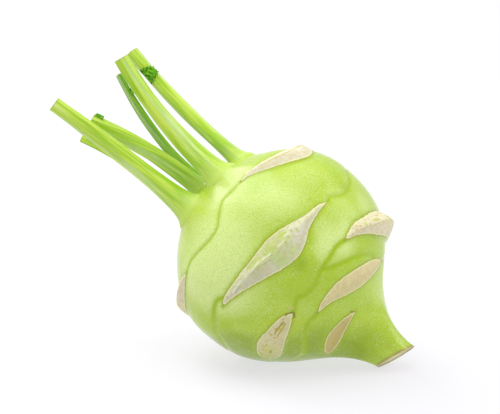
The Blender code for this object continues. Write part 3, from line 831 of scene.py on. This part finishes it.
def bulb_outline():
    """Half outline of the bulb, from the crown's middle down to the end of the root."""
    round_off = 0.51
    waist = (WAIST_RADIUS, -WAIST_DROP)
    shoulder_handle = 0.565 * WAIST_DROP
    waist_handle = 0.174 * WAIST_DROP
    crown = curve_points(
        (0.0, CROWN_RISE),
        (round_off * BULB_RADIUS, CROWN_RISE),
        (BULB_RADIUS, round_off * CROWN_RISE),
        (BULB_RADIUS, 0.0),
        CROWN_STEPS,
    )
    shoulder = curve_points(
        (BULB_RADIUS, 0.0),
        (BULB_RADIUS, -shoulder_handle),
        (WAIST_RADIUS + WAIST_SLOPE * waist_handle, waist_handle - WAIST_DROP),
        waist,
        SHOULDER_STEPS,
    )
    neck_end = -WAIST_DROP - NECK_LENGTH
    leave = 0.28 * NECK_LENGTH
    arrive = 0.44 * NECK_LENGTH
    neck = curve_points(
        waist,
        (WAIST_RADIUS - WAIST_SLOPE * leave, -WAIST_DROP - leave),
        (NECK_RADIUS + 0.1 * arrive, neck_end + arrive),
        (NECK_RADIUS, neck_end),
        NECK_STEPS,
    )
    spare = [Vector((NECK_RADIUS, 0.0, neck_end - ROOT_SPARE * step / 8)) for step in range(1, 9)]
    return crown + shoulder[1:] + neck[1:] + spare


OUTLINE = np.array([(point.x, point.z) for point in bulb_outline()])[::-1]  # root first


def outline_radius(height):
    return np.interp(height, OUTLINE[:, 1], OUTLINE[:, 0])


def outline_normals(height):
    """Outward normal of the outline at each height, as (across, up)."""
    run = np.gradient(OUTLINE, axis=0)
    across = np.interp(height, OUTLINE[:, 1], run[:, 1])
    up = np.interp(height, OUTLINE[:, 1], -run[:, 0])
    size = np.hypot(across, up)
    return across / size, up / size


def on_skin(line):
    """Places in space of (turn, height) points on the plain turned bulb."""
    turn = np.radians(line[:, 0])
    radius = outline_radius(line[:, 1])
    return np.stack([radius * np.cos(turn), radius * np.sin(turn), line[:, 1]], axis=1)


def bend_neck(height):
    return NECK_BEND * smooth_step((-height - 0.78 * WAIST_DROP) / (0.5 * NECK_LENGTH))


def turn_from(turn, middle):
    """The same turn, written as the value nearest to the middle."""
    return middle + (turn - middle + 180.0) % 360.0 - 180.0


def read_scar(scar, turn, height, spots):
    """Where each spot lies on one scar: depth inside its edge, share of the way across it, and how far
    the scar lifts the skin."""
    upper = curve_through(scar["crown_side"])
    lower = curve_through(scar["root_side"])
    start, end = upper[0, 0], upper[-1, 0]
    here = turn_from(turn, 0.5 * (start + end))
    top = np.interp(here, np.maximum.accumulate(upper[:, 0]), upper[:, 1])
    bottom = np.interp(here, np.maximum.accumulate(lower[:, 0]), lower[:, 1])
    along = np.clip((here - start) / (end - start), 0.0, 1.0)
    across = (top - height) / np.maximum(top - bottom, 0.05)
    inside = (along > 0.0) & (along < 1.0) & (across > 0.0) & (across < 1.0)
    depth = np.full(len(spots), -FAR)
    close = (here > start - 12) & (here < end + 12) & (height < top + FAR) & (height > bottom - FAR)
    to_upper = distance_to(on_skin(upper), spots[close])
    to_lower = distance_to(on_skin(lower), spots[close])
    depth[close] = np.minimum(to_upper, to_lower)
    depth[~inside] *= -1.0
    depth[~close] = -FAR
    taper = np.sin(np.pi * along) ** 0.8
    ridge = scar["ridge"]
    stations = [0.0, 0.75 * ridge, ridge, 0.75 * ridge + 0.25, 1.0]
    rise = np.interp(across, stations, [0.0, 0.8, 0.95, 0.8, scar["lip"]])
    lift = np.zeros(len(spots))
    below = np.full(len(spots), FAR)
    below[close] = to_lower
    fall = 1.0 - smooth_step(below / LEDGE)
    lift[inside] = rise[inside]
    under = close & (across >= 1.0)
    lift[under] = scar["lip"] * fall[under]
    notch = np.full(len(spots), FAR)
    notch[close] = to_upper
    level = close & (across <= 0.0)
    groove = np.where(level, -NOTCH_DEPTH * np.exp(-((notch / NOTCH_WIDTH) ** 2)), 0.0)
    return depth, across, taper * (lift * scar["rise"] + groove)


def near_line(line, places):
    """Distance of each place to a line or a spot on the skin, followed as far as FAR."""
    points = on_skin(curve_through(line) if len(line) > 1 else np.array(line * 2, float))
    low, high = points.min(axis=0) - FAR, points.max(axis=0) + FAR
    close = np.all((places > low) & (places < high), axis=1)
    away = np.full(len(places), FAR)
    away[close] = distance_to(points, places[close])
    return away


def turn_bulb():
    """Spin the outline into a closed skin."""
    bm = bmesh.new()
    corners = [bm.verts.new(point) for point in bulb_outline()]
    for upper, lower in zip(corners, corners[1:]):
        bm.edges.new((upper, lower))
    bmesh.ops.spin(
        bm,
        geom=bm.verts[:] + bm.edges[:],
        cent=(0.0, 0.0, 0.0),
        axis=(0.0, 0.0, 1.0),
        angle=math.tau,
        steps=BULB_SIDES,
        use_merge=True,
    )
    bmesh.ops.remove_doubles(bm, verts=bm.verts, dist=0.002)
    rim = [edge for edge in bm.edges if edge.is_boundary]
    bmesh.ops.edgeloop_fill(bm, edges=rim)
    return finished_mesh("bulb", bm)


def collar_lift(places):
    """Skin drawn up round the feet of the stalks."""
    lift = np.zeros(len(places))
    for foot, _, _, _, _, foot_width in STALKS.values():
        away = np.hypot(places[:, 0] - foot[0], places[:, 1] - foot[1]) - 0.5 * foot_width
        lift = np.maximum(lift, COLLAR_HEIGHT * np.exp(-np.maximum(away, 0.0) / COLLAR_REACH))
    return np.where(places[:, 2] > 0.0, lift, 0.0)


def swelling(turn, height):
    """Slow unevenness of a grown thing, in mm."""
    turn = np.radians(turn)
    return sum(size * np.sin(waves * turn + twist * height + start) for size, waves, twist, start in SWELLS)


def root_cut_plane():
    middle = Vector((-bend_neck(-ROOT_CUT_DROP), 0.0, -ROOT_CUT_DROP))
    outward = Vector(
        (
            math.sin(ROOT_CUT_TILT) * math.cos(ROOT_CUT_TURN),
            math.sin(ROOT_CUT_TILT) * math.sin(ROOT_CUT_TURN),
            -math.cos(ROOT_CUT_TILT),
        )
    )
    return middle, outward


def lay_scars(turn, height, places):
    """What all the scars do to the skin: how far they lift it, and what the material reads."""
    count = len(places)
    lift = np.zeros(count)
    depth = np.full(count, -FAR)
    across = np.zeros(count)
    tint = np.zeros(count)
    pores = np.zeros(count)
    flesh = np.tile(linear("#E0DABC"), (count, 1))
    pore_colour = np.tile(linear("#B8A560"), (count, 1))
    for scar in SCARS.values():
        deep, share, rise = read_scar(scar, turn, height, places)
        lift = np.where(np.abs(rise) > np.abs(lift), rise, lift)
        near = deep > np.maximum(depth, -SCAR_EDGE)
        facing = smooth_step((share - scar["ridge"]) / FACET_BLEND + 0.5)[:, None]
        first, second = (np.array(linear(code)) for code in scar["flesh"])
        flesh[near] = (first + (second - first) * facing)[near]
        pore_colour[near] = linear(scar["pore"])
        pores[near] = scar["pores"]
        across[near] = share[near]
        depth = np.maximum(depth, deep)
        # Deeper green round each scar: partly the skin's own colour, partly painted shade at its edges.
        tint = np.maximum(tint, SCAR_GREEN_AND_SHADE * np.exp(-((deep / SCAR_GREEN_AND_SHADE_REACH) ** 2)) * (deep < 0.0))
    kept = {"scar": depth, "across": across, "tint": tint, "pores": pores, "flesh": flesh}
    kept["pore_colour"] = pore_colour
    return lift, kept


def press_creases(lift, kept, height, places):
    """Sink the skin along the creases, but not on the scars, and deepen its green along them: partly the
    creases' own green, partly painted shade in the grooves.
    """
    for line in CREASES:
        away = near_line(line, places)
        dent = CREASE_DEPTH * np.exp(-((away / CREASE_WIDTH) ** 2))
        lift -= np.where(kept["scar"] < 0.0, dent, 0.0)
        strength = 1.0 - CROWN_CREASE_FADE * smooth_step((height - 4.0) / 14.0)
        # Deeper green along the crease, with a darker core that is painted shade in the groove.
        overlay_share = CREASE_GREEN_AND_SHADE * np.exp(-((away / CREASE_GREEN_AND_SHADE_REACH) ** 2))
        overlay_share += CREASE_CORE_SHADE * np.exp(-((away / CREASE_CORE_REACH) ** 2))
        kept["tint"] = np.maximum(kept["tint"], strength * overlay_share)


def wash_flesh(flesh, places):
    """Soak the soft washes of colour through the scars' flesh."""
    for turn_at, height_at, reach, code in WASHES:
        away = near_line([(turn_at, height_at)], places)
        share = np.exp(-((away / reach) ** 2))[:, None]
        flesh += (np.array(linear(code)) - flesh) * share


def bloom_and_painted_light_at(places):
    """How much paler (wax bloom and painted highlight), or where negative deeper green (painted shade), the
    skin is at each place.
    """
    bloom_and_painted_light = np.zeros(len(places))
    for turn_at, height_at, reach, strength in BLOOM_AND_PAINTED_LIGHT_PATCHES:
        spot = on_skin(np.array([(turn_at, height_at)], float))[0]
        bloom_and_painted_light += strength * np.exp(-((np.linalg.norm(places - spot, axis=1) / reach) ** 2))
    return bloom_and_painted_light


def lay_marks(places):
    """How far inside the nearest mark each place lies, as a share of its width, and its colour."""
    mark = np.full(len(places), -1.0)
    mark_colour = np.tile(linear("#B0A040"), (len(places), 1))
    for line, half_width, code in MARKS:
        inner = 1.0 - near_line(line, places) / half_width
        nearer = inner > mark
        mark[nearer] = inner[nearer]
        mark_colour[nearer & (inner > -2.0)] = linear(code)
    return mark, mark_colour


def move_skin(places, lift):
    """Lift the skin along the outline's normals and bend the neck."""
    out, up = outline_normals(places[:, 2])
    radius = np.maximum(np.hypot(places[:, 0], places[:, 1]), 0.001)
    places[:, 0] += lift * out * places[:, 0] / radius
    places[:, 1] += lift * out * places[:, 1] / radius
    places[:, 2] += lift * up
    places[:, 0] -= bend_neck(places[:, 2])


def shape_skin(mesh):
    """Move the turned skin to its grown shape and keep what the material needs to know."""
    places = read_places(mesh)
    turn = np.degrees(np.arctan2(places[:, 1], places[:, 0]))
    height = places[:, 2]
    lift, kept = lay_scars(turn, height, places)
    press_creases(lift, kept, height, places)
    wash_flesh(kept["flesh"], places)
    kept["bloom_and_painted_light"] = bloom_and_painted_light_at(places)
    kept["mark"], kept["mark_colour"] = lay_marks(places)
    lift += swelling(turn, height) * smooth_step((CROWN_RISE - height) / 12.0)
    lift += collar_lift(places)
    move_skin(places, lift)
    middle, outward = (np.array(vector) for vector in root_cut_plane())
    kept["cut"] = np.minimum((middle - places) @ outward, 3 * FAR)
    write_places(mesh, places)
    for name, values in kept.items():
        write_attribute(mesh, name, values)


def cut_root(bm):
    """Cut the root off slantwise and build the cut face in rings from the rim inwards."""
    middle, outward = root_cut_plane()
    cut = bmesh.ops.bisect_plane(
        bm,
        geom=bm.verts[:] + bm.edges[:] + bm.faces[:],
        dist=0.001,
        plane_co=middle,
        plane_no=outward,
        clear_outer=True,
    )
    rim = [item for item in cut["geom_cut"] if isinstance(item, bmesh.types.BMEdge)]
    rings = bm.verts.layers.float["tint"]
    corners = list(dict.fromkeys(corner for edge in rim for corner in edge.verts))
    centre = sum((corner.co for corner in corners), Vector()) / len(corners)
    before = set(bm.faces)
    reach = 1.0
    for share, dent in ROOT_RINGS:
        corners, rim = grow_rim(bm, rim)
        for corner in corners:
            flat = centre + (corner.co - centre) * (share / reach)
            corner.co = flat - outward * ((flat - middle).dot(outward) + dent)
            corner[rings] = share
        reach = share
    bmesh.ops.edgeloop_fill(bm, edges=rim)
    for face in set(bm.faces) - before:
        face.material_index = 1


def press_on_ground(mesh):
    """The bulb's weight presses its lowest spot flat."""
    mesh.transform(TO_PLACE)
    places = read_places(mesh)
    places[:, 2] = np.maximum(places[:, 2], 0.0)
    write_places(mesh, places)
    mesh.transform(TO_PLACE.inverted())


def make_bulb():
    mesh = turn_bulb()
    shape_skin(mesh)
    bm = bmesh.new()
    bm.from_mesh(mesh)
    cut_root(bm)
    mesh = finished_mesh("bulb_skin", bm)
    press_on_ground(mesh)
    add_piece("bulb", mesh, [skin_material(), root_flesh_material()])


# --- stalks -------------------------------------------------------------------------------------


def crown_height(x, y):
    share = np.minimum(np.hypot(x, y) / BULB_RADIUS, 0.98)
    return CROWN_RISE * np.sqrt(1.0 - share * share)


def stalk_route(foot, lean, length):
    """Centre line of a stalk: straight up from the crown, then leaning out, as (points, tangents)."""
    x, y = foot
    base = Vector((x, y, float(crown_height(x, y))))
    offset = Vector((lean[0], lean[1], length))
    rise = Vector((0.0, 0.0, offset.z / 3.0))
    out = Vector((offset.x * 2.0 / 3.0, offset.y * 2.0 / 3.0, offset.z / 3.0))
    points = interpolate_bezier(base, base + rise, base + offset - out, base + offset, STALK_STEPS)
    for step in range(1, SINK_STEPS + 1):
        points.insert(0, base - Vector((0.0, 0.0, STALK_SINK * step / SINK_STEPS)))
    tangents = []
    for index in range(len(points)):
        before = points[max(index - 1, 0)]
        after = points[min(index + 1, len(points) - 1)]
        tangents.append((after - before).normalized())
    return points, tangents


def ring_matrix(point, tangent, half_width, half_thickness):
    """Place of one cross-section: its X across the stalk, its Y away from the plant's middle."""
    outward = Vector((point.x, point.y, 0.0))
    outward = (outward - tangent * outward.dot(tangent)).normalized()
    across = outward.cross(tangent)
    turned = Matrix((across, outward, tangent)).transposed().to_4x4()
    size = Matrix.Diagonal((half_width, half_thickness, 1.0, 1.0))
    return Matrix.Translation(point) @ turned @ size


def skin_rings(bm, sides, matrices, groove):
    """Extrude one grooved ring through a run of places and close both ends."""
    ring = bmesh.ops.create_circle(bm, cap_ends=False, segments=sides, radius=1.0)["verts"]
    for corner in ring:
        corner.co.y += groove * max(0.0, -corner.co.y) ** 4
    bmesh.ops.transform(bm, matrix=matrices[0], verts=ring)
    rim = list(dict.fromkeys(edge for corner in ring for edge in corner.link_edges))
    bmesh.ops.edgeloop_fill(bm, edges=rim)
    for here, there in zip(matrices, matrices[1:]):
        corners, rim = grow_rim(bm, rim)
        bmesh.ops.transform(bm, matrix=there @ here.inverted(), verts=corners)
    bmesh.ops.edgeloop_fill(bm, edges=rim)


def stalk_half_width(share, above, tip_width, shank_width, foot_width):
    """Half width at a share of the stalk's length, and a height above its foot."""
    shank = shank_width + (tip_width - shank_width) * share
    flare = (foot_width - shank_width) * math.exp(-above / FLARE_RUN)
    return 0.5 * (shank + flare)


def make_stalk(name, foot, lean, length, tip_width, shank_width, foot_width, materials, slot):
    points, tangents = stalk_route(foot, lean, length)
    matrices = []
    for point, tangent in zip(points, tangents):
        above = max(0.0, point.z - points[SINK_STEPS].z)
        share = above / length
        half_width = stalk_half_width(share, above, tip_width, shank_width, foot_width)
        matrices.append(ring_matrix(point, tangent, half_width, half_width * STALK_FLATNESS))
    tip = matrices[-1]
    for inset, drop in TIP_RINGS:
        matrices.append(
            tip @ Matrix.Translation((0.0, 0.0, drop)) @ Matrix.Diagonal((inset, inset, 1.0, 1.0))
        )
    bm = bmesh.new()
    skin_rings(bm, STALK_SIDES, matrices, GROOVE_DEPTH)
    mesh = finished_mesh(name, bm)
    shape_stalk(mesh, matrices, length)
    add_piece(name, mesh, materials)


def shape_stalk(mesh, matrices, length):
    """Raise the ribs, spread the foot onto the skin, and keep what the material needs to know."""
    places = read_places(mesh)
    rings = len(matrices)
    ring = np.minimum(np.arange(len(places)) // STALK_SIDES, rings - 1)
    inverse = np.array([np.array(matrix.inverted()) for matrix in matrices])[ring]
    local = np.einsum("nij,nj->ni", inverse, np.hstack([places, np.ones((len(places), 1))]))
    around = np.arctan2(local[:, 1], local[:, 0])
    centre = np.array([np.array(matrix.translation) for matrix in matrices])[ring]
    outward = places - centre
    size = np.maximum(np.linalg.norm(outward, axis=1), 0.001)[:, None]
    outward /= size
    step = np.clip(ring - SINK_STEPS, 0, STALK_STEPS - 1)
    along = step / (STALK_STEPS - 1) * length
    on_side = ring < rings - len(TIP_RINGS)
    fade = np.where(on_side, smooth_step((ring - SINK_STEPS) / 20.0) * 0.6 + 0.4, 0.0)
    ribs = RIB_HEIGHT * np.cos(RIB_COUNT * around + 0.02 * along) * fade
    ribs += FINE_RIB_HEIGHT * np.cos(FINE_RIB_COUNT * around + 1.3) * fade
    slow = np.where(on_side, STALK_SWELL * np.sin(0.16 * along + 2.0 * around), 0.0)
    clear = places[:, 2] - crown_height(places[:, 0], places[:, 1])
    spread = FILLET * np.exp(-np.maximum(clear, 0.0) / FILLET_RUN) * on_side
    places += outward * (ribs + slow + spread)[:, None]
    write_places(mesh, places)
    grain = np.stack([1.6 * np.cos(around), 1.6 * np.sin(around), 0.035 * along], axis=1)
    inner = np.maximum(0.0, -np.sin(around)) ** 3
    write_attribute(mesh, "grain", grain)
    write_attribute(mesh, "clear", clear)
    write_attribute(mesh, "ending", length - along)
    write_attribute(mesh, "groove", 0.5 * inner * smooth_step(along / length))
    ends = np.zeros(len(mesh.polygons), int)
    corners = [max(ring[list(face.vertices)]) for face in mesh.polygons]
    ends[np.array(corners) >= rings - len(TIP_RINGS)] = 1
    mesh.polygons.foreach_set("material_index", ends)


def make_scrap(name, stalk_name, place, side, wrap, length, material):
    """A crinkled flake of leaf blade that clings round one side of a stalk."""
    foot, lean, stalk_length, tip_width, shank_width, _ = STALKS[stalk_name]
    points, tangents = stalk_route(foot, lean, stalk_length)
    spot = SINK_STEPS + place * (STALK_STEPS - 1)
    low = min(int(spot), len(points) - 2)
    point = points[low].lerp(points[low + 1], spot - low)
    tangent = tangents[low].lerp(tangents[low + 1], spot - low).normalized()
    width = shank_width + (tip_width - shank_width) * place
    reach = 0.5 * width + SCRAP_CLEARANCE
    bm = bmesh.new()
    bmesh.ops.create_grid(bm, x_segments=SCRAP_CELLS, y_segments=SCRAP_CELLS, size=0.5)
    for corner in bm.verts:
        along, around = corner.co.x, corner.co.y
        turn = math.radians(side + wrap * around)
        outward = Vector((math.cos(turn), math.sin(turn), 0.0))
        outward = (outward - tangent * outward.dot(tangent)).normalized()
        narrow = 1.0 - SCRAP_TAPER * (around + 0.5)
        edge = abs(2.0 * along) ** 4
        teeth = 0.045 * edge * math.sin(26.0 * around) * (1 if along > 0 else -1)
        crinkle = 0.022 * math.sin(13.0 * along + 5.0 * around) * math.cos(11.0 * around - 4.0 * along)
        crinkle += 0.016 * math.sin(21.0 * around + 7.0 * along) + 0.03 * edge
        lifted = reach + SCRAP_LIFT + crinkle * length
        corner.co = point + tangent * ((along * narrow + teeth) * length) + outward * lifted
    bm.normal_update()
    bmesh.ops.solidify(bm, geom=bm.faces[:], thickness=SCRAP_THICKNESS)
    mesh = finished_mesh(name, bm)
    add_piece(name, mesh, [material])


def make_bud(material):
    """Pointed bud of a few folded young leaves."""
    x, y = BUD_FOOT
    bm = bmesh.new()
    bmesh.ops.create_uvsphere(bm, u_segments=120, v_segments=80, radius=1.0)
    mesh = finished_mesh("heart_bud", bm)
    places = read_places(mesh)
    turn = np.arctan2(places[:, 1], places[:, 0])
    rise = 0.5 * (places[:, 2] + 1.0)
    fold = np.cos(BUD_LEAVES * turn + 3.0 * rise)
    slim = (1.0 - 0.45 * rise) * (1.0 + BUD_PLEAT * fold + 0.03 * np.cos(17 * turn + 5.0 * rise))
    places[:, 0] = places[:, 0] * slim * BUD_RADIUS + x
    places[:, 1] = places[:, 1] * slim * BUD_RADIUS + y
    places[:, 2] = rise * (BUD_HEIGHT + BUD_SINK) + crown_height(x, y) - BUD_SINK
    write_places(mesh, places)
    # Darker in the valleys between the folded leaves: painted shade.
    write_attribute(mesh, "tint", 0.5 - 0.5 * fold)
    add_piece("heart_bud", mesh, [material])


def make_stalks():
    flesh = stalk_flesh_material()
    green = stalk_material("green_petiole_skin", "#C2DC54", "#94C00A", "#BAD45E", 0.5)
    dark = stalk_material("dark_petiole_skin", "#80B20A", "#4A8A00", "#A4C644", 0.12)
    for name, sizes in STALKS.items():
        if name == "stalk_thin_dark":
            make_stalk(name, *sizes, [dark, flesh], "stalk_dark")
        else:
            make_stalk(name, *sizes, [green, flesh], "stalk")


def build():
    make_camera()
    make_studio()
    make_floor()
    make_bulb()
    make_stalks()
    blade = blade_material()
    for name, sizes in SCRAPS.items():
        make_scrap(name, *sizes, blade)
    make_bud(bud_material())


build()
